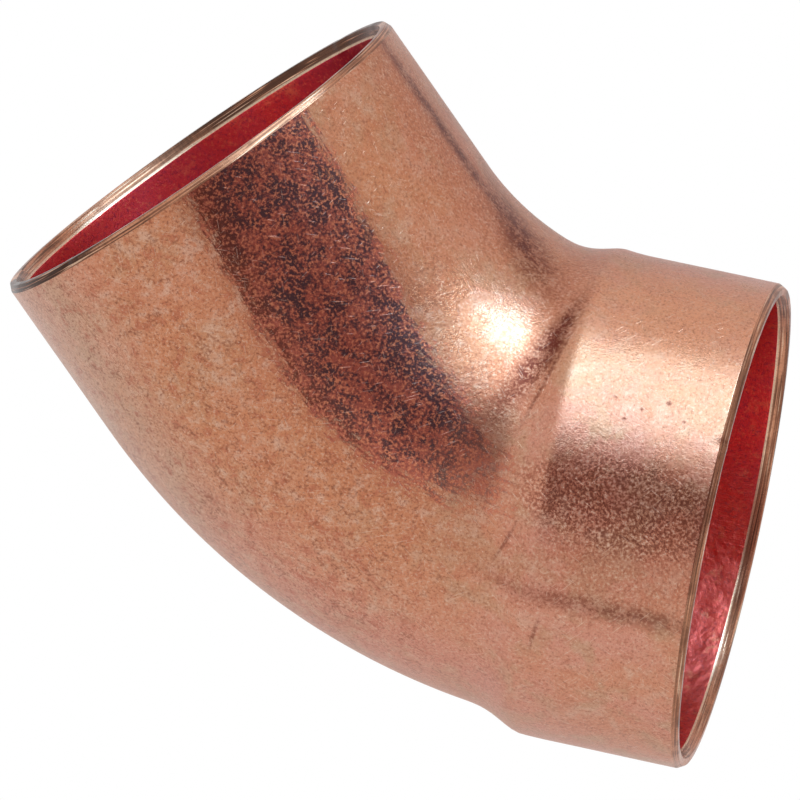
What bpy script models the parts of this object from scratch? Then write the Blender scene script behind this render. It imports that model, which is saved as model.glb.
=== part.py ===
"""A 45 degree copper street elbow for drainage tube.

The fitting is one length of seamless copper tube. It is bent through 45 degrees, and one
end is then driven out over a mandrel into a cup that takes the next tube. The other end is
left at tube size as a spigot, which goes into the cup of another fitting. There is nothing
inside it and nothing on it moves, so the whole object is one piece.

It lies on its side. The plane of the bend is level, the cup opens towards +X, the spigot
points towards -X and +Y, and the origin is at the bottom centre of the whole shape.
"""

import math

import bmesh
import bpy
from mathutils import Vector

MM = 0.001

# Driving dimensions.
TUBE_OUTER_DIAMETER = 41.28 * MM
WALL = 1.35 * MM
SOLDER_GAP = 0.15 * MM          # how much wider the cup's bore is than the tube it takes
CUP_DEPTH = 14.7 * MM           # from the cup's face to the start of its shoulder
SHOULDER_LENGTH = 5.9 * MM      # along the cup's axis
BEND_ANGLE = math.radians(45.0)
BEND_RADIUS = 42.6 * MM         # of the centreline
CUP_REACH = 29.7 * MM           # from where the two axes cross to the cup's face
SPIGOT_REACH = 33.4 * MM        # from where the two axes cross to the spigot's end
RIM_BEVEL = 0.3 * MM            # on both edges of each cut end

# How finely the round surfaces are divided.
BEVEL_RESOLUTION = 30
SIDES = 4 + 2 * BEVEL_RESOLUTION
LEG_STEPS = 3
BEND_STEPS = 14
CUP_STEPS = 3

# Sizes that follow from the driving dimensions.
TUBE_RADIUS = TUBE_OUTER_DIAMETER / 2
CUP_OUTER_RADIUS = (TUBE_OUTER_DIAMETER + SOLDER_GAP) / 2 + WALL
TANGENT_LENGTH = BEND_RADIUS * math.tan(BEND_ANGLE / 2)
BEND_CENTRE = Vector((TANGENT_LENGTH, BEND_RADIUS, 0.0))
SPIGOT_DIRECTION = Vector((-math.cos(BEND_ANGLE), math.sin(BEND_ANGLE), 0.0))

COPPER_COLOUR = (0.62, 0.29, 0.18, 1.0)
COPPER_ROUGHNESS = 0.36


def clear_scene():
    """Remove every object that the file starts with."""
    for item in list(bpy.data.objects):
        bpy.data.objects.remove(item, do_unlink=True)


def evenly(start, end, steps):
    """The points from start up to but not including end, in equal steps."""
    return [start.lerp(end, step / steps) for step in range(steps)]


def centreline():
    """Points along the middle of the tube, from the spigot's end to the cup's face.

    The origin of these points is where the axes of the two legs cross.
    """
    spigot_end = SPIGOT_DIRECTION * SPIGOT_REACH
    bend_start = SPIGOT_DIRECTION * TANGENT_LENGTH
    bend_end = Vector((TANGENT_LENGTH, 0.0, 0.0))
    cup_face = Vector((CUP_REACH, 0.0, 0.0))
    points = evenly(spigot_end, bend_start, LEG_STEPS)
    for step in range(BEND_STEPS):
        remaining = BEND_ANGLE * (1.0 - step / BEND_STEPS)
        towards = Vector((-math.sin(remaining), -math.cos(remaining), 0.0))
        points.append(BEND_CENTRE + towards * BEND_RADIUS)
    points += evenly(bend_end, cup_face, CUP_STEPS)
    points.append(cup_face)
    return points


def tube_surface(points):
    """The outside of the bent tube as an open mesh, before its cup is formed."""
    curve = bpy.data.curves.new("bent_tube", "CURVE")
    curve.dimensions = "3D"
    curve.twist_mode = "Z_UP"
    curve.bevel_depth = TUBE_RADIUS
    curve.bevel_resolution = BEVEL_RESOLUTION
    curve.use_fill_caps = False
    spline = curve.splines.new("POLY")
    spline.points.add(len(points) - 1)
    for control, point in zip(spline.points, points):
        control.co = (*point, 1.0)
    guide = bpy.data.objects.new("bent_tube", curve)
    bpy.context.scene.collection.objects.link(guide)
    evaluated = guide.evaluated_get(bpy.context.evaluated_depsgraph_get())
    mesh = bpy.data.meshes.new_from_object(evaluated)
    bpy.data.objects.remove(guide, do_unlink=True)
    bpy.data.curves.remove(curve)
    return mesh


def expansion(distance):
    """How far the tube is driven out, at a distance behind the plane of the cup's face."""
    travel = (CUP_DEPTH + SHOULDER_LENGTH - distance) / SHOULDER_LENGTH
    travel = min(max(travel, 0.0), 1.0)
    return (CUP_OUTER_RADIUS - TUBE_RADIUS) * travel * travel * (3.0 - 2.0 * travel)


def form_cup(mesh, points):
    """Drive the cup's end out, square to the cup's axis, as a mandrel does."""
    for index, vertex in enumerate(mesh.vertices):
        centre = points[index // SIDES]
        outwards = (vertex.co - centre).normalized()
        vertex.co += outwards * expansion(CUP_REACH - vertex.co.x)


def face_outwards(mesh):
    """Turn every face of the open tube away from its centreline."""
    work = bmesh.new()
    work.from_mesh(mesh)
    bmesh.ops.recalc_face_normals(work, faces=work.faces)
    lowest = min(work.faces, key=lambda face: face.calc_center_median().z)
    if lowest.normal.z > 0.0:
        bmesh.ops.reverse_faces(work, faces=work.faces)
    work.to_mesh(mesh)
    work.free()


def copper():
    """The fitting's own copper, as Blender shows it."""
    material = bpy.data.materials.new("copper")
    material.use_nodes = True
    shader = material.node_tree.nodes["Principled BSDF"]
    shader.inputs["Base Color"].default_value = COPPER_COLOUR
    shader.inputs["Metallic"].default_value = 1.0
    shader.inputs["Roughness"].default_value = COPPER_ROUGHNESS
    return material


def add_wall(body):
    """Give the open surface its wall, inwards, and take the sharp edges off both rims."""
    wall = body.modifiers.new("wall", "SOLIDIFY")
    wall.thickness = WALL
    wall.offset = -1.0
    wall.use_even_offset = True
    wall.use_rim = True
    rims = body.modifiers.new("rims", "BEVEL")
    rims.width = RIM_BEVEL
    rims.segments = 1
    rims.limit_method = "ANGLE"
    rims.angle_limit = math.radians(60.0)


def bottom_centre(body):
    """The bottom centre of the finished shape, in the body's own coordinates."""
    bpy.context.view_layer.update()
    evaluated = body.evaluated_get(bpy.context.evaluated_depsgraph_get())
    corners = [Vector(corner) for corner in evaluated.bound_box]
    low = Vector(min(corner[axis] for corner in corners) for axis in range(3))
    high = Vector(max(corner[axis] for corner in corners) for axis in range(3))
    return Vector(((low.x + high.x) / 2, (low.y + high.y) / 2, low.z))


def build_elbow(collection):
    """The elbow itself, placed with the bottom centre of its shape at the origin."""
    points = centreline()
    mesh = tube_surface(points)
    form_cup(mesh, points)
    face_outwards(mesh)
    mesh.name = "elbow_body"
    body = bpy.data.objects.new("elbow_body", mesh)
    collection.objects.link(body)
    mesh.materials.clear()
    mesh.materials.append(copper())
    mesh.shade_smooth()
    add_wall(body)
    body.location = -bottom_centre(body)


def main():
    clear_scene()
    collection = bpy.data.collections.new("pipe_elbow")
    bpy.context.scene.collection.children.link(collection)
    build_elbow(collection)


main()
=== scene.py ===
"""The looks of a 45 degree copper street elbow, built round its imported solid.

The elbow is one formed tube. Its wall is drawn as a flat outline, run round the tube by a
Geometry Nodes tree, and then bent, flared into a cup and marked as the real one is when it
is formed. Three finishes cover it: handled copper outside, oxide red inside, and bright cut
copper at the two rims.
"""

import logging
import math
from dataclasses import dataclass, field
from enum import Enum
from typing import Sequence, Union

import bpy
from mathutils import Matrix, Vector


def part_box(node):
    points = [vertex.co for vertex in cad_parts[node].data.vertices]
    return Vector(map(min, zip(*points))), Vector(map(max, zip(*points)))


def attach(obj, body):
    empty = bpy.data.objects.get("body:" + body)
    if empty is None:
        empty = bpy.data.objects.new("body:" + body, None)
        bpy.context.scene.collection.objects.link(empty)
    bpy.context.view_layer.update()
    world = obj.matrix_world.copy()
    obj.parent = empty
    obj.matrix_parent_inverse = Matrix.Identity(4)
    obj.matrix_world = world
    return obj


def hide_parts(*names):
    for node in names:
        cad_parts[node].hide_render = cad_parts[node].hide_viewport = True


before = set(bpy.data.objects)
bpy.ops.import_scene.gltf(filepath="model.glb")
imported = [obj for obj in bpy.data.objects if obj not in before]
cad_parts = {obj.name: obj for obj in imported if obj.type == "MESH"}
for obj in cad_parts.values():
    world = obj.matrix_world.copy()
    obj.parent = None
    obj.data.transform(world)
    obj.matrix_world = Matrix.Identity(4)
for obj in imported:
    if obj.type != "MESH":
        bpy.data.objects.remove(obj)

LOG = logging.getLogger("copper_elbow")
MM = 0.001
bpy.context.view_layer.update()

Colour = tuple[float, float, float, float]


# ---- Node building ----


class Field:
    """One output of a node, which ordinary arithmetic turns into more nodes."""

    def __init__(self, graph: "Graph", socket: bpy.types.NodeSocket) -> None:
        """Hold a socket and the graph it belongs to."""
        self.graph = graph
        self.socket = socket

    def __add__(self, other: "Value") -> "Field":
        """Add a number or a field."""
        return self.graph.math("ADD", self, other)

    def __radd__(self, other: "Value") -> "Field":
        """Add to a number."""
        return self.graph.math("ADD", other, self)

    def __sub__(self, other: "Value") -> "Field":
        """Take away a number or a field."""
        return self.graph.math("SUBTRACT", self, other)

    def __rsub__(self, other: "Value") -> "Field":
        """Take this field from a number."""
        return self.graph.math("SUBTRACT", other, self)

    def __mul__(self, other: "Value") -> "Field":
        """Multiply by a number or a field."""
        return self.graph.math("MULTIPLY", self, other)

    def __truediv__(self, other: "Value") -> "Field":
        """Divide by a number or a field."""
        return self.graph.math("DIVIDE", self, other)

    def __neg__(self) -> "Field":
        """Turn the sign round."""
        return self.graph.math("MULTIPLY", self, -1.0)


Value = Union[float, Field]


class Graph:
    """Adds nodes to a shader or Geometry Nodes tree and hands back their outputs."""

    def __init__(self, tree: bpy.types.NodeTree) -> None:
        """Start on a tree, leaving the nodes that it already has."""
        self.tree = tree
        self.count = 0

    def node(self, kind: str, **settings: object) -> bpy.types.Node:
        """Add one node.

        Args:
            kind: The node's type name.
            **settings: Properties of the node to set.

        Returns:
            The new node.
        """
        made = self.tree.nodes.new(kind)
        made.location = (180.0 * (self.count % 12), -220.0 * (self.count // 12))
        self.count += 1
        for name, value in settings.items():
            setattr(made, name, value)
        return made

    def feed(self, value: object, target: bpy.types.NodeSocket) -> None:
        """Link a field to an input, or set the input to a plain value."""
        if isinstance(value, Field):
            self.tree.links.new(value.socket, target)
        else:
            target.default_value = value

    def out(self, node: bpy.types.Node, output: Union[int, str] = 0) -> Field:
        """One of a node's outputs as a field."""
        return Field(self, node.outputs[output])

    def math(self, operation: str, *values: Value, clamp: bool = False) -> Field:
        """One Math node on up to three numbers or fields."""
        made = self.node("ShaderNodeMath", operation=operation, use_clamp=clamp)
        for value, target in zip(values, made.inputs):
            self.feed(value, target)
        return self.out(made)

    def vector(self, operation: str, *values: object, output: str = "Vector") -> Field:
        """One Vector Math node on vectors or vector fields."""
        made = self.node("ShaderNodeVectorMath", operation=operation)
        for value, target in zip(values, made.inputs):
            self.feed(value, target)
        return self.out(made, output)

    def combine(self, x: Value, y: Value, z: Value) -> Field:
        """A vector from three numbers or fields."""
        made = self.node("ShaderNodeCombineXYZ")
        for value, target in zip((x, y, z), made.inputs):
            self.feed(value, target)
        return self.out(made)

    def split(self, vector: Field) -> tuple[Field, Field, Field]:
        """The three parts of a vector field."""
        made = self.node("ShaderNodeSeparateXYZ")
        self.feed(vector, made.inputs[0])
        return self.out(made, 0), self.out(made, 1), self.out(made, 2)

    def step(self, value: Value, low: Value, high: Value, start: Value = 0.0,
             end: Value = 1.0) -> Field:
        """A smooth step from start to end as a value goes from low to high."""
        made = self.node("ShaderNodeMapRange", interpolation_type="SMOOTHSTEP")
        for item, name in ((value, "Value"), (low, "From Min"), (high, "From Max"),
                           (start, "To Min"), (end, "To Max")):
            self.feed(item, made.inputs[name])
        return self.out(made)

    def noise(self, vector: Field, size: Value, detail: float = 2.0,
              roughness: float = 0.5, distortion: float = 0.0) -> Field:
        """Smooth noise from 0 to 1 whose features are about one size across, in metres."""
        made = self.node("ShaderNodeTexNoise")
        self.feed(vector, made.inputs["Vector"])
        self.feed(1.0 / size if isinstance(size, float) else self.math("DIVIDE", 1.0, size),
                  made.inputs["Scale"])
        made.inputs["Detail"].default_value = detail
        made.inputs["Roughness"].default_value = roughness
        made.inputs["Distortion"].default_value = distortion
        return self.out(made)

    def mix(self, share: Value, first: object, second: object) -> Field:
        """A colour between two colours."""
        made = self.node("ShaderNodeMix", data_type="RGBA")
        self.feed(share, made.inputs["Factor"])
        self.feed(first, made.inputs[6])
        self.feed(second, made.inputs[7])
        return self.out(made, 2)


# ---- Effects that more than one finish uses ----


class Effect:
    """A shader node group with named inputs and outputs, built once and placed often."""

    name: str = "effect"
    inputs: tuple[tuple[str, str, object], ...] = ()
    outputs: tuple[str, ...] = ()

    def __init__(self) -> None:
        """Make the group's sockets and fill it."""
        self.tree = bpy.data.node_groups.new(self.name, "ShaderNodeTree")
        for name, kind, value in self.inputs:
            socket = self.tree.interface.new_socket(name=name, in_out="INPUT",
                                                    socket_type=kind)
            if value is not None:
                socket.default_value = value
        for name in self.outputs:
            self.tree.interface.new_socket(name=name, in_out="OUTPUT",
                                           socket_type="NodeSocketFloat")
        graph = Graph(self.tree)
        entry = graph.node("NodeGroupInput")
        given = {name: graph.out(entry, name) for name, _, _ in self.inputs}
        leave = graph.node("NodeGroupOutput")
        for name, value in self.fill(graph, given).items():
            graph.feed(value, leave.inputs[name])

    def fill(self, graph: Graph, given: dict[str, Field]) -> dict[str, Field]:
        """Build the group's inside and name its results."""
        raise NotImplementedError

    def place(self, graph: Graph, **values: object) -> dict[str, Field]:
        """Put the group in a material.

        Args:
            graph: The material's graph.
            **values: Input values, with underscores for the spaces in their names.

        Returns:
            The group's outputs by name.
        """
        made = graph.node("ShaderNodeGroup", node_tree=self.tree)
        for name, value in values.items():
            graph.feed(value, made.inputs[name.replace("_", " ").capitalize()])
        return {name: graph.out(made, name) for name in self.outputs}


class Grain(Effect):
    """The fine granular tooth that annealing and pickling leave on copper, and painted glints
    on a few grains.
    """

    name = "copper_grain"
    inputs = (("Place", "NodeSocketVector", None), ("Size", "NodeSocketFloat", 0.3 * MM))
    outputs = ("Tooth", "Painted glint")

    def fill(self, graph: Graph, given: dict[str, Field]) -> dict[str, Field]:
        """Mix two sizes of noise, and pick out the few grains that get painted glints."""
        coarse = graph.noise(given["Place"], given["Size"], detail=2.0, roughness=0.6)
        fine = graph.noise(given["Place"], given["Size"] * 0.45, detail=1.0)
        tooth = coarse * 0.6 + fine * 0.4
        return {"Tooth": tooth, "Painted glint": graph.step(tooth, 0.6, 0.74)}


class Mottle(Effect):
    """Soft, ragged patches, for stains and for changes of tone."""

    name = "mottle"
    inputs = (("Place", "NodeSocketVector", None), ("Size", "NodeSocketFloat", 6.0 * MM),
              ("Low", "NodeSocketFloat", 0.4), ("High", "NodeSocketFloat", 0.6))
    outputs = ("Mask",)

    def fill(self, graph: Graph, given: dict[str, Field]) -> dict[str, Field]:
        """Cut smooth noise between two levels."""
        cloud = graph.noise(given["Place"], given["Size"], detail=4.0, roughness=0.6,
                            distortion=0.4)
        return {"Mask": graph.step(cloud, given["Low"], given["High"])}


class Scratches(Effect):
    """Short straight scratches that lie in one direction on the unrolled surface."""

    name = "scratches"
    inputs = (("Place", "NodeSocketVector", None), ("Lean", "NodeSocketFloat", 0.0),
              ("Length", "NodeSocketFloat", 2.0 * MM), ("Width", "NodeSocketFloat", 0.08 * MM))
    outputs = ("Mask",)

    def fill(self, graph: Graph, given: dict[str, Field]) -> dict[str, Field]:
        """Stretch a scatter of dots into dashes, and drop most of them by noise."""
        turned = graph.node("ShaderNodeVectorRotate", rotation_type="Z_AXIS")
        graph.feed(given["Place"], turned.inputs["Vector"])
        graph.feed(given["Lean"], turned.inputs["Angle"])
        along, across, _ = graph.split(graph.out(turned))
        cells = graph.node("ShaderNodeTexVoronoi", voronoi_dimensions="2D")
        cells.inputs["Scale"].default_value = 1.0
        stretched = graph.combine(along * 0.3 / given["Length"],
                                  across * 0.16 / given["Width"], 0.0)
        graph.feed(stretched, cells.inputs["Vector"])
        dash = graph.step(graph.out(cells, "Distance"), 0.06, 0.14, 1.0, 0.0)
        _, chance, _ = graph.split(graph.out(cells, "Color"))
        return {"Mask": dash * graph.step(chance, 0.80, 0.95)}


@dataclass(frozen=True)
class Stain:
    """One patch on the unrolled tube: its lengths in millimetres, its lean in radians."""

    along: float
    around: float
    half_length: float
    half_width: float
    lean: float = 0.0
    soft: float = 0.4
    strength: float = 0.7


class Blotch(Effect):
    """One stain at a named place on the tube, with a ragged edge."""

    name = "blotch"
    inputs = (("Place", "NodeSocketVector", None), ("Along", "NodeSocketFloat", 0.0),
              ("Around", "NodeSocketFloat", 0.0), ("Lean", "NodeSocketFloat", 0.0),
              ("Half length", "NodeSocketFloat", 10.0 * MM),
              ("Half width", "NodeSocketFloat", 5.0 * MM), ("Soft", "NodeSocketFloat", 0.4))
    outputs = ("Mask",)

    def fill(self, graph: Graph, given: dict[str, Field]) -> dict[str, Field]:
        """Measure how far a point is from the stain's middle, as a share of its size."""
        centre = graph.combine(given["Along"], given["Around"], 0.0)
        offset = graph.vector("SUBTRACT", given["Place"], centre)
        turned = graph.node("ShaderNodeVectorRotate", rotation_type="Z_AXIS")
        graph.feed(offset, turned.inputs["Vector"])
        graph.feed(given["Lean"], turned.inputs["Angle"])
        along, across, _ = graph.split(graph.out(turned))
        reach = graph.combine(along / given["Half length"], across / given["Half width"], 0.0)
        ragged = graph.noise(given["Place"], 3.0 * MM, detail=4.0, roughness=0.65)
        distance = graph.vector("LENGTH", reach, output="Value") + (ragged - 0.5) * 0.7
        return {"Mask": graph.step(distance, 1.0 - given["Soft"], 1.0 + given["Soft"],
                                   1.0, 0.0)}

    def lay(self, graph: Graph, unrolled: Field, stain: Stain) -> Field:
        """Where one stain lies, from 0 to 1."""
        return self.place(
            graph, place=unrolled, along=stain.along * MM, around=stain.around * MM,
            lean=stain.lean, half_length=stain.half_length * MM,
            half_width=stain.half_width * MM, soft=stain.soft)["Mask"]


@dataclass
class Effects:
    """The shared effects of one run."""

    grain: Grain = field(default_factory=Grain)
    mottle: Mottle = field(default_factory=Mottle)
    scratches: Scratches = field(default_factory=Scratches)
    blotch: Blotch = field(default_factory=Blotch)


# ---- Finishes ----


UNROLLED = "unrolled"


def new_metal(name: str) -> tuple[bpy.types.Material, Graph, bpy.types.Node]:
    """A new material that is all metal, with its graph and its Principled shader."""
    material = bpy.data.materials.new(name)
    material.use_nodes = True
    graph = Graph(material.node_tree)
    shader = material.node_tree.nodes["Principled BSDF"]
    shader.inputs["Metallic"].default_value = 1.0
    return material, graph, shader


def object_place(graph: Graph) -> Field:
    """Where a point is on the object, in metres."""
    return graph.out(graph.node("ShaderNodeTexCoord"), "Object")


def unrolled_place(graph: Graph) -> Field:
    """Where a point is on the unrolled tube: metres along it, metres round it, and turns."""
    return graph.out(graph.node("ShaderNodeAttribute", attribute_name=UNROLLED), "Vector")


def bump(graph: Graph, shader: bpy.types.Node, height: Field) -> None:
    """Feed a height in metres to a shader's normal."""
    made = graph.node("ShaderNodeBump")
    made.inputs["Strength"].default_value = 1.0
    made.inputs["Distance"].default_value = 1.0
    graph.feed(height, made.inputs["Height"])
    graph.feed(graph.out(made), shader.inputs["Normal"])


@dataclass(frozen=True)
class HandledCopper:
    """The outside: bare copper with a fine tooth, mottled tones, stain marks, scratches and
    painted shade, reflection, sheen and glints.
    """

    name: str = "handled_copper"
    pink: Colour = (0.600, 0.270, 0.200, 1.0)
    orange: Colour = (0.560, 0.235, 0.118, 1.0)
    tan: Colour = (0.500, 0.290, 0.180, 1.0)
    brown: Colour = (0.240, 0.085, 0.050, 1.0)
    # rust-red, for real tone and for painted shade
    rust_and_shade: Colour = (0.420, 0.120, 0.070, 1.0)
    honey: Colour = (0.540, 0.215, 0.105, 1.0)
    dust: Colour = (0.555, 0.375, 0.275, 1.0)
    # lighter tone for the painted sheen on the cup's top
    sheen_tone: Colour = (0.790, 0.380, 0.225, 1.0)
    umber: Colour = (0.135, 0.031, 0.020, 1.0)
    pale: Colour = (0.640, 0.400, 0.290, 1.0)
    oxide_dark: Colour = (0.085, 0.046, 0.056, 1.0)
    oxide_red: Colour = (0.500, 0.140, 0.095, 1.0)
    oxide_warm: Colour = (0.900, 0.370, 0.190, 1.0)
    bright: Colour = (0.900, 0.660, 0.520, 1.0)
    grain_size: float = 0.24 * MM
    grain_depth: float = 0.030 * MM
    roughness: float = 0.25
    clump_size: float = 1.2 * MM
    speck_size: float = 0.27 * MM
    tide_size: float = 6.0 * MM
    tide_level: float = 0.52
    wave_size: float = 5.0 * MM
    wave_height: float = 0.045 * MM
    pebble_size: float = 1.1 * MM
    pebble_height: float = 0.022 * MM
    scratch_depth: float = 0.006 * MM
    scratch_runs: tuple[tuple[float, float, float], ...] = (
        (0.45, 1.5 * MM, 0.040 * MM),
        (-0.8, 1.0 * MM, 0.035 * MM),
        (2.3, 1.9 * MM, 0.045 * MM),
        (1.4, 0.7 * MM, 0.040 * MM),
    )
    # oxide band on the bend, laid where the studio's dark gap reflects: oxide stain and
    # painted dark reflection
    bend_band: Stain = Stain(10.0, 41.1, 31.0, 6.5, 0.13, 0.32, 0.95)
    # the cup's dark band: speckled stain and painted dark reflection
    cup_band: Stain = Stain(53.6, 38.2, 9.5, 3.9, 0.0, 0.30, 0.56)
    tanned: Stain = Stain(12.0, 29.5, 30.0, 9.0, 0.05, 0.7, 0.75)
    # painted sheen: a lighter patch on the cup's top, beside the light's reflection
    sheen_patch: Stain = Stain(54.0, 57.0, 12.0, 7.0, 0.0, 0.7, 0.60)
    dusted: Stain = Stain(11.0, 14.5, 15.0, 6.0, 0.0, 0.8, 0.75)
    warmed: Stain = Stain(26.0, 56.0, 44.0, 13.0, 0.0, 0.5, 0.50)
    flushed: Stain = Stain(36.0, 15.0, 12.0, 8.0, 0.0, 0.8, 0.60)
    # Rust-red hazes, several of them painted shade and painted reflection
    hazes_and_shade: tuple[Stain, ...] = (
        # painted reflection: haze round the shoulder's dark streak, in two parts
        Stain(37.5, 46.0, 3.2, 5.0, 0.45, 0.8, 0.85),
        Stain(39.0, 56.0, 2.6, 6.0, 0.30, 0.8, 0.55),
        # painted reflection: darker along the spigot's edge
        Stain(24.0, 61.5, 14.0, 3.0, 0.15, 0.9, 0.60),
        Stain(28.0, 48.0, 10.0, 2.4, 0.20, 0.9, 0.45),
        # painted shade in the cup's crease
        Stain(53.0, 31.8, 9.0, 2.2, 0.0, 0.8, 0.45),
        Stain(13.0, 33.9, 27.0, 1.9, 0.13, 0.9, 0.50),
        # partly painted dark reflection, in the cup's dark band
        Stain(54.0, 37.6, 10.0, 4.6, 0.0, 0.6, 0.45),
        # painted reflection: darker along the spigot's edge, in two parts
        Stain(6.0, 60.8, 20.0, 3.4, 0.0, 0.9, 0.60),
        Stain(8.0, 63.0, 17.0, 1.9, 0.0, 0.8, 0.60),
    )
    # Umber marks: real die marks and spots, and painted shade and painted reflection
    stains_and_shade: tuple[Stain, ...] = (
        # painted reflection: a dark line along the spigot's edge
        Stain(11.0, 62.9, 12.0, 0.8, 0.0, 1.0, 1.0),
        # a darker patch near the bend's edge
        Stain(27.6, 61.2, 9.0, 2.6, 0.43, 0.9, 1.0),
        # painted reflection: the dark streak on the shoulder where the bend reflects itself,
        # in three parts
        Stain(39.8, 49.4, 1.7, 6.6, 0.29, 0.7, 1.0),
        Stain(41.0, 51.6, 0.9, 3.0, 0.05, 0.6, 1.0),
        Stain(41.9, 48.0, 0.22, 4.5, 0.15, 0.9, 0.7),
        # painted shade in the cup's crease
        Stain(54.8, 29.3, 8.5, 0.75, 0.0, 1.0, 0.70),
        # die marks
        Stain(43.8, 32.8, 0.16, 2.0, 0.25, 0.6, 0.55),
        Stain(47.9, 25.6, 0.16, 1.6, 0.1, 0.6, 0.45),
        # small spots on the cup
        Stain(53.2, 46.6, 0.20, 0.16, 0.0, 0.4, 0.9),
        Stain(50.6, 47.2, 0.28, 0.12, 0.3, 0.4, 0.8),
        Stain(55.4, 47.6, 0.24, 0.22, 0.0, 0.5, 0.8),
        Stain(51.9, 45.4, 0.18, 0.16, 0.0, 0.5, 0.8),
        Stain(57.1, 46.2, 0.16, 0.20, 0.4, 0.5, 0.7),
    )

    def material(self, effects: Effects) -> bpy.types.Material:
        """Build the finish from the shared node groups."""
        material, graph, shader = new_metal(self.name)
        place = object_place(graph)
        unrolled = unrolled_place(graph)
        along, around, _ = graph.split(unrolled)
        grain = effects.grain.place(graph, place=place, size=self.grain_size)
        tooth = grain["Tooth"]

        def mottle(size: float, low: float, high: float) -> Field:
            """Patches of one size."""
            return effects.mottle.place(graph, place=place, size=size, low=low,
                                        high=high)["Mask"]

        def stained(stain: Stain) -> Field:
            """Where one stain lies, from 0 to 1."""
            return effects.blotch.lay(graph, unrolled, stain)

        towards_cup = graph.step(along, 33.0 * MM, 47.0 * MM, 0.70, 0.12)
        clumps = graph.noise(place, self.clump_size, detail=4.0, roughness=0.62)
        specks = graph.noise(place, self.speck_size, detail=2.0, roughness=0.6)
        worked = (graph.step(along, 32.0 * MM, 46.0 * MM, 1.0, 0.40)
                  * graph.step(around, 34.0 * MM, 50.0 * MM, 1.0, 0.45))
        colour = graph.mix(mottle(12.0 * MM, 0.36, 0.62) * 0.5 + towards_cup * 0.5,
                           self.pink, self.orange)
        colour = graph.mix(mottle(5.0 * MM, 0.46, 0.62) * 0.75, colour, self.tan)
        colour = graph.mix(mottle(3.1 * MM, 0.54, 0.72) * 0.55, colour, self.pale)
        # rust-red hazes and painted shade, speckled
        for haze in self.hazes_and_shade:
            share = stained(haze) * (0.5 + graph.step(specks, 0.42, 0.58) * 0.5)
            colour = graph.mix(share * haze.strength, colour, self.rust_and_shade)
        # tone patches; the cup's lighter patch among them is painted sheen
        for patch, tone in ((self.tanned, self.honey), (self.dusted, self.dust),
                            (self.flushed, self.pink), (self.warmed, self.honey),
                            (self.sheen_patch, self.sheen_tone)):
            share = stained(patch) * (0.6 + graph.step(clumps, 0.42, 0.58) * 0.4)
            colour = graph.mix(share * patch.strength, colour, tone)
        colour = graph.mix(graph.step(clumps, 0.51, 0.66) * worked * 0.55, colour,
                           self.rust_and_shade)
        colour = graph.mix(graph.step(clumps, 0.47, 0.32) * worked * 0.55, colour,
                           self.pale)
        tide = graph.noise(place, self.tide_size, detail=3.0, roughness=0.6)
        shore = graph.step(graph.math("ABSOLUTE", tide - self.tide_level), 0.002, 0.016,
                           1.0, 0.0)
        colour = graph.mix(shore * worked * graph.step(specks, 0.38, 0.58) * 0.50, colour,
                           self.brown)
        colour = graph.mix(graph.step(specks, 0.53, 0.72) * (worked * 0.30 + 0.40),
                           colour, self.brown)
        colour = graph.mix(graph.step(specks, 0.46, 0.28) * 0.62, colour, self.pale)
        colour = graph.mix(graph.step(tooth, 0.50, 0.30) * (worked * 0.30 + 0.30),
                           colour, self.brown)
        # painted glints: a few grains lightened as if they caught the light
        colour = graph.mix(grain["Painted glint"] * 0.50, colour, self.bright)

        # The bend's band: oxide stain and painted dark reflection
        band = stained(self.bend_band)
        reddened = graph.step(around + mottle(5.0 * MM, 0.3, 0.7) * (4.0 * MM),
                              36.0 * MM, 43.0 * MM, 0.02, -0.02)
        drift = (mottle(2.8 * MM, 0.36, 0.64) - 0.5) * 0.10
        reds = graph.step(clumps * 0.45 + specks * 0.55 + reddened + drift, 0.39, 0.58)
        oxide = graph.mix(reds, self.oxide_dark, self.oxide_red)
        oxide = graph.mix(graph.step(specks, 0.50, 0.68) * 0.65, oxide, self.oxide_warm)
        # umber fringe along one edge of the band, part of the painted dark reflection
        fringe = graph.step(around + along * 0.13, 40.0 * MM, 36.2 * MM, 0.0, 1.0)
        patchy = graph.step(clumps * 0.45 + specks * 0.55, 0.56, 0.44) * 0.60
        oxide = graph.mix(fringe * (patchy + 0.34), oxide, self.umber)
        # painted glints on the oxide band
        oxide = graph.mix(grain["Painted glint"] * 0.50, oxide, self.bright)
        covered = graph.step(band + (clumps - 0.5) + (specks - 0.5) * 0.8, 0.25, 0.60)
        fading = graph.step(along + clumps * (8.0 * MM), 35.0 * MM, 46.0 * MM,
                            self.bend_band.strength, 0.55)
        colour = graph.mix(covered * fading, colour, oxide)
        # The cup's dark band: umber and light specks, partly speckled stain and partly painted
        # dark reflection
        speckled = stained(self.cup_band)
        colour = graph.mix(speckled * graph.step(specks, 0.46, 0.56)
                           * self.cup_band.strength, colour, self.umber)
        colour = graph.mix(speckled * graph.step(specks, 0.44, 0.34)
                           * self.cup_band.strength * 0.45, colour, self.bright)
        # umber marks, some of them painted shade and painted reflection
        for stain in self.stains_and_shade:
            share = stained(stain) * (0.45 + graph.step(clumps * 0.5 + specks * 0.5,
                                                        0.42, 0.56) * 0.55)
            colour = graph.mix(share * stain.strength, colour, self.umber)

        scratched = None
        for lean, length, width in self.scratch_runs:
            mask = effects.scratches.place(graph, place=unrolled, lean=lean,
                                           length=length, width=width)["Mask"]
            scratched = mask if scratched is None else graph.math("MAXIMUM", scratched, mask)
        colour = graph.mix(scratched * 0.30, colour, self.bright)
        graph.feed(colour, shader.inputs["Base Color"])

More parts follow.
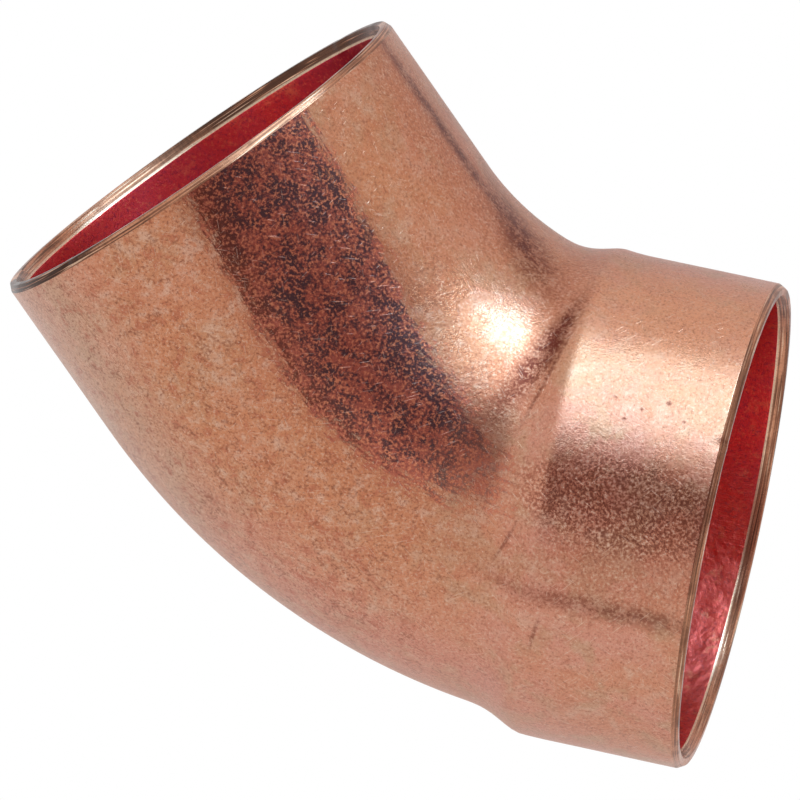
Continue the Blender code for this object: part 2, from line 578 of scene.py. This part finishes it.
        rough = self.roughness + mottle(4.0 * MM, 0.35, 0.7) * 0.05 + band * 0.05
        graph.feed(rough, shader.inputs["Roughness"])
        waves = graph.noise(place, self.wave_size, detail=2.0)
        pebbles = graph.noise(place, self.pebble_size, detail=2.0)
        height = (tooth * self.grain_depth + waves * self.wave_height
                  + pebbles * self.pebble_height - scratched * self.scratch_depth)
        bump(graph, shader, height)
        return material


@dataclass(frozen=True)
class OxideBore:
    """The inside: copper under a thin deep red oxide, worn pale where the cup was sized."""

    name: str = "oxide_bore"
    red: Colour = (0.780, 0.065, 0.066, 1.0)
    purple: Colour = (0.400, 0.040, 0.075, 1.0)
    warm: Colour = (0.900, 0.260, 0.130, 1.0)
    pale: Colour = (0.740, 0.310, 0.190, 1.0)
    grain_size: float = 0.30 * MM
    grain_depth: float = 0.026 * MM
    roughness: float = 0.36
    speck_size: float = 0.34 * MM
    pebble_size: float = 1.4 * MM
    pebble_height: float = 0.16 * MM
    worn: Stain = Stain(57.0, 114.0, 9.0, 14.0, 0.0, 0.45, 0.85)
    burnt: Stain = Stain(4.0, 76.0, 12.0, 15.0, 0.0, 0.6, 0.9)

    def material(self, effects: Effects) -> bpy.types.Material:
        """Build the finish from the shared node groups."""
        material, graph, shader = new_metal(self.name)
        place = object_place(graph)
        unrolled = unrolled_place(graph)
        grain = effects.grain.place(graph, place=place, size=self.grain_size)
        cloud = effects.mottle.place(graph, place=place, size=7.0 * MM, low=0.40,
                                     high=0.62)["Mask"]
        spots = effects.mottle.place(graph, place=place, size=1.3 * MM, low=0.54,
                                     high=0.74)["Mask"]
        worn = effects.blotch.lay(graph, unrolled, self.worn)
        specks = graph.noise(place, self.speck_size, detail=2.0, roughness=0.6)
        burnt = effects.blotch.lay(graph, unrolled, self.burnt) * self.burnt.strength
        colour = graph.mix(graph.math("MAXIMUM", cloud * 0.35, burnt), self.red,
                           self.purple)
        colour = graph.mix(spots * 0.42, colour, self.warm)
        colour = graph.mix(graph.step(specks, 0.52, 0.68) * 0.65, colour, self.purple)
        colour = graph.mix(graph.step(specks, 0.44, 0.28) * 0.35, colour, self.warm)
        colour = graph.mix(worn * (0.30 + spots * 0.5) * self.worn.strength, colour,
                           self.pale)
        # painted glints on the bore, more where it is paler
        colour = graph.mix(grain["Painted glint"] * (0.12 + worn * 0.5), colour, self.pale)
        graph.feed(colour, shader.inputs["Base Color"])
        graph.feed(self.roughness + cloud * 0.08, shader.inputs["Roughness"])
        pebbles = graph.noise(place, self.pebble_size, detail=2.0)
        bump(graph, shader, grain["Tooth"] * self.grain_depth
             + worn * pebbles * self.pebble_height)
        return material


@dataclass(frozen=True)
class CutCopper:
    """The rims: fresh copper with the fine rings that cutting and reaming leave, painted shade
    in places and a painted highlight line near each end.
    """

    length: float
    name: str = "cut_copper"
    fresh: Colour = (0.560, 0.250, 0.145, 1.0)
    dull: Colour = (0.260, 0.110, 0.065, 1.0)
    dark: Colour = (0.055, 0.028, 0.020, 1.0)
    bright: Colour = (0.950, 0.700, 0.500, 1.0)
    ring_width: float = 0.16 * MM
    ring_height: float = 0.020 * MM
    # where the painted highlight line near each end starts and ends
    line_start: float = 0.74 * MM
    line_end: float = 0.88 * MM
    # painted shade on the rims: low on the spigot's near rim, along its far rim and on part of
    # the cup's rim
    painted_shades: tuple[Stain, ...] = (
        Stain(0.0, 14.0, 1.5, 12.0, 0.0, 0.4, 1.0),
        Stain(0.0, 88.0, 1.5, 18.0, 0.0, 0.3, 0.85),
        Stain(61.3, 30.0, 1.5, 10.0, 0.0, 0.4, 0.35),
    )
    grain_size: float = 0.22 * MM
    grain_depth: float = 0.012 * MM
    roughness: float = 0.24

    def material(self, effects: Effects) -> bpy.types.Material:
        """Build the finish from the shared node groups."""
        material, graph, shader = new_metal(self.name)
        place = object_place(graph)
        unrolled = unrolled_place(graph)
        along, around, _ = graph.split(unrolled)
        grain = effects.grain.place(graph, place=place, size=self.grain_size)
        worn = effects.mottle.place(graph, place=place, size=4.0 * MM, low=0.40,
                                    high=0.66)["Mask"]
        rings = graph.noise(graph.combine(along / self.ring_width * MM, around * 0.05, 0.0),
                            1.0 * MM, detail=2.0, roughness=0.6)
        coils = graph.noise(graph.combine(along / self.ring_width * MM, around * 0.12, 7.0),
                            0.8 * MM, detail=1.0)
        colour = graph.mix(graph.step(rings + worn * 0.12, 0.44, 0.62), self.fresh,
                           self.dull)
        colour = graph.mix(graph.step(coils, 0.56, 0.70) * 0.7, colour, self.dark)
        # painted shade, in dark streaks
        for shade in self.painted_shades:
            mask = effects.blotch.lay(graph, unrolled, shade)
            streaks = graph.step(coils, 0.34, 0.46)
            colour = graph.mix(mask * streaks * shade.strength, colour, self.dark)
        colour = graph.mix(graph.step(coils, 0.40, 0.30) * 0.5, colour, self.bright)
        # painted highlight: a bright line on the inner bevel, near the bore
        end = graph.math("MINIMUM", along, self.length - along)
        colour = graph.mix(graph.step(end, self.line_start, self.line_end) * 0.55, colour,
                           self.bright)
        colour = graph.mix(graph.step(grain["Tooth"], 0.52, 0.36) * 0.3, colour, self.dark)
        graph.feed(colour, shader.inputs["Base Color"])
        graph.feed(self.roughness + worn * 0.12, shader.inputs["Roughness"])
        bump(graph, shader, grain["Tooth"] * self.grain_depth + rings * self.ring_height)
        return material


# ---- The elbow ----


class Zone(Enum):
    """The three parts of the wall's surface, each with its own finish."""

    OUTSIDE = 0
    RIM = 1
    BORE = 2


@dataclass(frozen=True)
class RimCut:
    """How one end is cut: a worn outer edge, a narrow flat and a reamed inner edge."""

    outer_axial: float
    outer_radial: float
    inner_axial: float
    inner_radial: float


@dataclass(frozen=True)
class Burr:
    """A small raised or pressed mark on a rim."""

    at_cup: bool
    turn: float
    half_width: float
    height: float


@dataclass
class StreetElbow:
    """The formed tube: a spigot end, a bend and a cup with its shoulder."""

    tube_radius: float = 20.64 * MM
    wall: float = 1.35 * MM
    solder_gap: float = 0.15 * MM
    cup_depth: float = 14.7 * MM
    shoulder_length: float = 5.9 * MM
    shoulder_bias: float = 1.5
    bend_angle: float = math.radians(45.0)
    bend_radius: float = 42.6 * MM
    cup_reach: float = 29.7 * MM
    spigot_reach: float = 33.4 * MM
    spigot_cut: RimCut = RimCut(0.62 * MM, 0.28 * MM, 1.02 * MM, 0.46 * MM)
    cup_cut: RimCut = RimCut(0.61 * MM, 0.36 * MM, 0.97 * MM, 0.40 * MM)
    edge_round: float = 0.06 * MM
    outline_step: float = 0.46 * MM
    sides: int = 340
    dent_depth: float = 0.05 * MM
    dent_size: float = 11.0 * MM
    seed: float = 4.0
    burrs: tuple[Burr, ...] = (
        Burr(False, 232.2 / 360.0, 1.3 * MM, -0.22 * MM),
        Burr(False, 59.7 / 360.0, 0.8 * MM, -0.20 * MM),
        Burr(False, 152.0 / 360.0, 3.0 * MM, -0.12 * MM),
        Burr(True, 124.8 / 360.0, 0.6 * MM, -0.28 * MM),
        Burr(True, 62.0 / 360.0, 3.5 * MM, -0.14 * MM),
        Burr(True, 300.0 / 360.0, 2.5 * MM, -0.10 * MM),
    )

    @property
    def cup_growth(self) -> float:
        """How far the cup's wall stands outside the tube's."""
        return self.solder_gap / 2 + self.wall

    @property
    def tangent(self) -> float:
        """From where the axes cross to where the bend starts."""
        return self.bend_radius * math.tan(self.bend_angle / 2)

    @property
    def length(self) -> float:
        """Along the centreline, from rim to rim."""
        legs = self.spigot_reach + self.cup_reach - 2 * self.tangent
        return legs + self.bend_radius * self.bend_angle

    def axes_cross(self) -> Vector:
        """Where the axes of the two legs cross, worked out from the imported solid's box."""
        low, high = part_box("elbow_body")
        cup_radius = self.tube_radius + self.cup_growth
        return Vector((high[0] - self.cup_reach, low[1] + cup_radius,
                       (low[2] + high[2]) / 2))

    def corners(self) -> list[tuple[float, float, Zone]]:
        """The wall's outline before its edges are rounded.

        Returns:
            Points as distance along the tube, distance from its middle, and the zone of
            the run that starts there, once round from the spigot's outer edge.
        """
        outer = self.tube_radius
        inner = outer - self.wall
        start, end = self.spigot_cut, self.cup_cut
        return [
            (start.outer_axial, outer, Zone.OUTSIDE),
            (self.length - end.outer_axial, outer, Zone.RIM),
            (self.length, outer - end.outer_radial, Zone.RIM),
            (self.length, inner + end.inner_radial, Zone.RIM),
            (self.length - end.inner_axial, inner, Zone.BORE),
            (start.inner_axial, inner, Zone.RIM),
            (0.0, inner + start.inner_radial, Zone.RIM),
            (0.0, outer - start.outer_radial, Zone.RIM),
        ]

    def outline(self) -> tuple[list[Vector], list[int]]:
        """The wall's closed outline, with small rounds at its corners.

        Returns:
            The points, and for each point the zone of the run that starts there.
        """
        corners = self.corners()
        points: list[Vector] = []
        zones: list[int] = []
        for index, (along, out, zone) in enumerate(corners):
            here = Vector((along, out, 0.0))
            before = Vector((*corners[index - 1][:2], 0.0))
            after = Vector((*corners[(index + 1) % len(corners)][:2], 0.0))
            cut = min(self.edge_round, (after - here).length / 3, (before - here).length / 3)
            arrive = here + (before - here).normalized() * cut
            depart = here + (after - here).normalized() * cut
            for share in (0.0, 1.0 / 3.0, 2.0 / 3.0):
                first = arrive.lerp(here, share)
                points.append(first.lerp(here.lerp(depart, share), share))
                zones.append(zone.value if share > 0.5 else corners[index - 1][2].value)
            target = after + (here - after).normalized() * cut
            count = max(1, round((target - depart).length / self.outline_step))
            for step in range(count):
                points.append(depart.lerp(target, step / count))
                zones.append(zone.value)
        return points, zones

    def section(self) -> bpy.types.Object:
        """The outline as an object that the forming tree reads."""
        points, zones = self.outline()
        mesh = bpy.data.meshes.new("wall_outline")
        mesh.from_pydata(points, [], [])
        mesh.attributes.new("zone", "INT", "POINT").data.foreach_set("value", zones)
        holder = bpy.data.objects.new("elbow_copper", mesh)
        bpy.context.scene.collection.objects.link(holder)
        return holder

    def build(self, finishes: dict[Zone, bpy.types.Material]) -> bpy.types.Object:
        """Form the elbow.

        Args:
            finishes: The material of each zone.

        Returns:
            The finished piece, as a plain mesh.
        """
        holder = self.section()
        tree = FormingTree(self.burrs, self.length)
        modifier = holder.modifiers.new("forming", "NODES")
        modifier.node_group = tree.tree
        values: dict[str, object] = {
            "Tube radius": self.tube_radius,
            "Bend radius": self.bend_radius,
            "Bend angle": self.bend_angle,
            "Cup reach": self.cup_reach,
            "Spigot reach": self.spigot_reach,
            "Cup growth": self.cup_growth,
            "Cup depth": self.cup_depth,
            "Shoulder length": self.shoulder_length,
            "Shoulder bias": self.shoulder_bias,
            "Axes cross": tuple(self.axes_cross()),
            "Sides": self.sides,
            "Dent depth": self.dent_depth,
            "Dent size": self.dent_size,
            "Seed": self.seed,
            "Outside": finishes[Zone.OUTSIDE],
            "Rim": finishes[Zone.RIM],
            "Bore": finishes[Zone.BORE],
        }
        for name, value in values.items():
            modifier[tree.identifiers[name]] = value
        evaluated = holder.evaluated_get(bpy.context.evaluated_depsgraph_get())
        mesh = bpy.data.meshes.new_from_object(evaluated)
        holder.modifiers.remove(modifier)
        outline_mesh = holder.data
        holder.data = mesh
        mesh.name = "elbow_copper"
        bpy.data.meshes.remove(outline_mesh)
        return holder


class FormingTree:
    """Geometry Nodes that run the wall's outline round the tube and form the elbow."""

    sizes = tuple((name, "NodeSocketFloat") for name in (
        "Tube radius", "Bend radius", "Bend angle", "Cup reach", "Spigot reach", "Cup growth",
        "Cup depth", "Shoulder length", "Shoulder bias", "Dent depth", "Dent size", "Seed",
    )) + (
        ("Axes cross", "NodeSocketVector"),
        ("Sides", "NodeSocketInt"),
        ("Outside", "NodeSocketMaterial"),
        ("Rim", "NodeSocketMaterial"),
        ("Bore", "NodeSocketMaterial"),
    )

    def __init__(self, burrs: Sequence[Burr], length: float) -> None:
        """Build the tree for the rims' marks and the length along the centreline."""
        self.burrs = burrs
        self.length = length
        self.tree = bpy.data.node_groups.new("form_elbow", "GeometryNodeTree")
        interface = self.tree.interface
        interface.new_socket(name="Outline", in_out="INPUT",
                             socket_type="NodeSocketGeometry")
        self.identifiers: dict[str, str] = {}
        for name, kind in self.sizes:
            socket = interface.new_socket(name=name, in_out="INPUT", socket_type=kind)
            self.identifiers[name] = socket.identifier
        interface.new_socket(name="Elbow", in_out="OUTPUT", socket_type="NodeSocketGeometry")
        self.graph = Graph(self.tree)
        entry = self.graph.node("NodeGroupInput")
        self.outline = self.graph.out(entry, "Outline")
        self.given = {name: self.graph.out(entry, name) for name, _ in self.sizes}
        self.finish(self.form(self.grid()))

    def sample(self, kind: str, value: Field, index: Field) -> Field:
        """Read one of the outline's values at an index."""
        made = self.graph.node("GeometryNodeSampleIndex", data_type=kind, domain="POINT")
        self.graph.feed(self.outline, made.inputs["Geometry"])
        self.graph.feed(value, made.inputs["Value"])
        self.graph.feed(index, made.inputs["Index"])
        return self.graph.out(made)

    def store(self, mesh: Field, name: str, kind: str, domain: str, value: Field) -> Field:
        """Keep a field on the mesh under a name."""
        made = self.graph.node("GeometryNodeStoreNamedAttribute", data_type=kind,
                               domain=domain)
        self.graph.feed(mesh, made.inputs["Geometry"])
        made.inputs["Name"].default_value = name
        self.graph.feed(value, made.inputs["Value"])
        return self.graph.out(made)

    def grid(self) -> Field:
        """A flat grid with one row for each outline point and one column for each side."""
        graph = self.graph
        size = graph.node("GeometryNodeAttributeDomainSize")
        graph.feed(self.outline, size.inputs["Geometry"])
        self.count = graph.out(size, "Point Count")
        made = graph.node("GeometryNodeMeshGrid")
        made.inputs["Size X"].default_value = 1.0
        made.inputs["Size Y"].default_value = 1.0
        graph.feed(self.given["Sides"] + 1.0, made.inputs["Vertices X"])
        graph.feed(self.count + 1.0, made.inputs["Vertices Y"])
        across, down, _ = graph.split(graph.out(graph.node("GeometryNodeInputPosition")))
        self.turn = across + 0.5
        row = (down + 0.5) * self.count
        nearest = graph.math("MODULO", graph.math("ROUND", row), self.count)
        position = graph.out(graph.node("GeometryNodeInputPosition"))
        self.along, self.out_radius, _ = graph.split(
            self.sample("FLOAT_VECTOR", position, nearest))
        zone = graph.node("GeometryNodeInputNamedAttribute", data_type="INT")
        zone.inputs["Name"].default_value = "zone"
        mesh = self.store(graph.out(made, "Mesh"), "zone", "INT", "FACE",
                          self.sample("INT", graph.out(zone), graph.math("FLOOR", row)))
        circumference = self.given["Tube radius"] * (2 * math.pi)
        unrolled = graph.combine(self.along, self.turn * circumference, self.turn)
        return self.store(mesh, UNROLLED, "FLOAT_VECTOR", "CORNER", unrolled)

    def form(self, mesh: Field) -> Field:
        """Move the grid's points to the formed elbow."""
        graph, given = self.graph, self.given
        angle, radius = given["Bend angle"], given["Bend radius"]
        tangent = radius * graph.math("TANGENT", angle * 0.5)
        leg = given["Spigot reach"] - tangent
        arc = radius * angle
        travelled = self.along - leg
        bent = graph.math("DIVIDE", travelled, arc, clamp=True)
        past_end = graph.math("MAXIMUM", travelled - arc, 0.0)
        extra = graph.math("MINIMUM", travelled, 0.0) + past_end
        left = angle * (1.0 - bent)
        cosine, sine = graph.math("COSINE", left), graph.math("SINE", left)
        centre_x = tangent - sine * radius + cosine * extra
        centre_y = radius - cosine * radius - sine * extra
        turned = self.turn * (2 * math.pi)
        outwards, up = graph.math("COSINE", turned), graph.math("SINE", turned)
        out_x, out_y = -(outwards * sine), -(outwards * cosine)

        behind = given["Cup reach"] - (centre_x + self.out_radius * out_x)
        risen = graph.math(
            "DIVIDE", given["Cup depth"] + given["Shoulder length"] - behind,
            given["Shoulder length"], clamp=True)
        driven = graph.step(graph.math("POWER", risen, given["Shoulder bias"]), 0.0, 1.0,
                            0.0, given["Cup growth"])
        around = graph.combine(self.along, self.out_radius * outwards,
                               self.out_radius * up)
        seeded = graph.vector("ADD", around, graph.combine(given["Seed"], 0.0, 0.0))
        dents = graph.noise(seeded, given["Dent size"], detail=1.0)
        reach = (self.out_radius + driven + (dents - 0.62) * given["Dent depth"]
                 + self.marks())
        place = graph.combine(centre_x + reach * out_x, centre_y + reach * out_y,
                              reach * up)
        made = graph.node("GeometryNodeSetPosition")
        graph.feed(mesh, made.inputs["Geometry"])
        graph.feed(graph.vector("ADD", place, given["Axes cross"]), made.inputs["Position"])
        return graph.out(made)

    def marks(self) -> Field:
        """How far the rims' burrs and nicks stand out, in metres."""
        graph = self.graph
        circumference = self.given["Tube radius"] * (2 * math.pi)
        total: Value = 0.0
        for burr in self.burrs:
            sideways = (self.turn - burr.turn) * circumference / burr.half_width
            near = graph.step(graph.math("ABSOLUTE", sideways), 0.0, 1.0, 1.0, 0.0)
            end = self.length - self.along if burr.at_cup else self.along
            total = near * graph.step(end, 0.2 * MM, 1.3 * MM, burr.height, 0.0) + total
        return total

    def finish(self, mesh: Field) -> None:
        """Close the seams, smooth the shading and give each zone its material."""
        graph = self.graph
        merge = graph.node("GeometryNodeMergeByDistance")
        graph.feed(mesh, merge.inputs["Geometry"])
        merge.inputs["Distance"].default_value = 0.001 * MM
        smooth = graph.node("GeometryNodeSetShadeSmooth")
        graph.feed(graph.out(merge), smooth.inputs["Geometry"])
        mesh = graph.out(smooth)
        for zone, name in ((Zone.OUTSIDE, "Outside"), (Zone.RIM, "Rim"), (Zone.BORE, "Bore")):
            attribute = graph.node("GeometryNodeInputNamedAttribute", data_type="INT")
            attribute.inputs["Name"].default_value = "zone"
            chosen = graph.math("COMPARE", graph.out(attribute), float(zone.value), 0.1)
            made = graph.node("GeometryNodeSetMaterial")
            graph.feed(mesh, made.inputs["Geometry"])
            graph.feed(chosen, made.inputs["Selection"])
            graph.feed(self.given[name], made.inputs["Material"])
            mesh = graph.out(made)
        leave = graph.node("NodeGroupOutput")
        graph.feed(mesh, leave.inputs["Elbow"])


# ---- The studio ----


def direction(azimuth: float, elevation: float) -> Vector:
    """A unit vector from two angles in degrees."""
    turn, rise = math.radians(azimuth), math.radians(elevation)
    return Vector((math.cos(rise) * math.cos(turn), math.cos(rise) * math.sin(turn),
                   math.sin(rise)))


@dataclass(frozen=True)
class Card:
    """A rectangle in the sky round the elbow: a soft light, or a dark gap between lights."""

    azimuth: float
    elevation: float
    half_width: float
    half_height: float
    edge: float

    def mask(self, graph: Graph, sky: Field) -> Field:
        """Where the card is in the world, from 0 to 1, by the direction looked in."""
        middle = direction(self.azimuth, self.elevation)
        right = direction(self.azimuth + 90.0, 0.0)
        above = middle.cross(right)
        ahead = graph.vector("DOT_PRODUCT", sky, tuple(middle), output="Value")
        depth = graph.math("MAXIMUM", ahead, 0.05)
        across = graph.vector("DOT_PRODUCT", sky, tuple(right), output="Value") / depth
        height = graph.vector("DOT_PRODUCT", sky, tuple(above), output="Value") / depth
        inside_x = graph.step(graph.math("ABSOLUTE", across),
                              self.half_width - self.edge, self.half_width + self.edge,
                              1.0, 0.0)
        inside_y = graph.step(graph.math("ABSOLUTE", height),
                              self.half_height - self.edge, self.half_height + self.edge,
                              1.0, 0.0)
        return inside_x * inside_y * graph.step(ahead, 0.05, 0.15)


@dataclass
class Studio:
    """A pale sweep, a white tent round it, one soft light and the gap for the camera."""

    tent_colour: Colour = (0.95, 0.95, 0.95, 1.0)
    light_colour: Colour = (2.30, 3.20, 3.85, 1.0)
    core_colour: Colour = (9.5, 17.5, 25.0, 1.0)
    gap_colour: Colour = (0.34, 0.22, 0.22, 1.0)
    light: Card = Card(86.0, 20.0, 0.42, 0.46, 0.07)
    core: Card = Card(71.0, 7.0, 0.09, 0.12, 0.07)
    gap: Card = Card(42.0, 57.0, 0.72, 0.68, 0.15)
    floor_half: float = 3.0
    floor_tone: Colour = (0.82, 0.77, 0.73, 1.0)
    floor_glow: float = 0.22
    camera_azimuth: float = 65.71
    camera_elevation: float = 71.88
    camera_distance: float = 1340.5 * MM
    camera_up_heading: float = 99.57
    lens: float = 676.1
    aim_offset: tuple[float, float, float] = (2.25 * MM, -2.88 * MM, 0.0)

    def build(self) -> None:
        """Set up the world, the floor and the camera."""
        self.world()
        self.floor()
        self.camera()

    def world(self) -> None:
        """The tent: even white, with the soft light and the gap in it."""
        world = bpy.data.worlds.new("tent")
        world.use_nodes = True
        bpy.context.scene.world = world
        graph = Graph(world.node_tree)
        sky = graph.out(graph.node("ShaderNodeTexCoord"), "Generated")
        colour = graph.mix(self.gap.mask(graph, sky), self.tent_colour, self.gap_colour)
        colour = graph.mix(self.light.mask(graph, sky), colour, self.light_colour)
        colour = graph.mix(self.core.mask(graph, sky), colour, self.core_colour)
        graph.feed(colour, world.node_tree.nodes["Background"].inputs["Color"])

    def floor(self) -> None:
        """The sweep that the elbow lies on, which the camera sees as pure white."""
        low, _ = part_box("elbow_body")
        half = self.floor_half
        mesh = bpy.data.meshes.new("floor")
        mesh.from_pydata([(-half, -half, low[2]), (half, -half, low[2]),
                          (half, half, low[2]), (-half, half, low[2])], [], [(0, 1, 2, 3)])
        floor = bpy.data.objects.new("floor", mesh)
        bpy.context.scene.collection.objects.link(floor)
        material = bpy.data.materials.new("light_table")
        material.use_nodes = True
        graph = Graph(material.node_tree)
        shader = material.node_tree.nodes["Principled BSDF"]
        shader.inputs["Base Color"].default_value = self.floor_tone
        shader.inputs["Roughness"].default_value = 0.9
        shader.inputs["Specular IOR Level"].default_value = 0.0
        shader.inputs["Emission Color"].default_value = self.floor_tone
        shader.inputs["Emission Strength"].default_value = self.floor_glow
        glow = graph.node("ShaderNodeEmission")
        seen = graph.node("ShaderNodeMixShader")
        graph.feed(graph.out(graph.node("ShaderNodeLightPath"), "Is Camera Ray"),
                   seen.inputs[0])
        graph.feed(graph.out(shader), seen.inputs[1])
        graph.feed(graph.out(glow), seen.inputs[2])
        graph.feed(graph.out(seen),
                   material.node_tree.nodes["Material Output"].inputs["Surface"])
        mesh.materials.append(material)

    def camera(self) -> None:
        """The camera, high over the inner side of the bend."""
        low, high = (Vector(corner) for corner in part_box("elbow_body"))
        aim = (low + high) / 2 + Vector(self.aim_offset)
        away = direction(self.camera_azimuth, self.camera_elevation)
        data = bpy.data.cameras.new("camera")
        data.lens = self.lens
        data.sensor_width = 36.0
        data.clip_start = 0.01
        data.clip_end = 20.0
        camera = bpy.data.objects.new("camera", data)
        bpy.context.scene.collection.objects.link(camera)
        right = direction(self.camera_up_heading, 0.0).cross(away).normalized()
        up = away.cross(right)
        turned = camera.matrix_world.copy()
        for row in range(3):
            turned[row][0], turned[row][1], turned[row][2] = right[row], up[row], away[row]
            turned[row][3] = (aim + away * self.camera_distance)[row]
        camera.matrix_world = turned
        bpy.context.scene.camera = camera
        bpy.context.scene.view_settings.view_transform = "Standard"


def main() -> None:
    """Build the elbow, dress it, and set up the studio."""
    logging.basicConfig(level=logging.INFO, format="%(name)s: %(message)s")
    effects = Effects()
    design = StreetElbow()
    finishes = {
        Zone.OUTSIDE: HandledCopper().material(effects),
        Zone.RIM: CutCopper(design.length).material(effects),
        Zone.BORE: OxideBore().material(effects),
    }
    elbow = design.build(finishes)
    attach(elbow, "root")
    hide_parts("elbow_body")
    LOG.info("%s: %d faces", elbow.name, len(elbow.data.polygons))
    Studio().build()


if __name__ == "__main__":
    main()
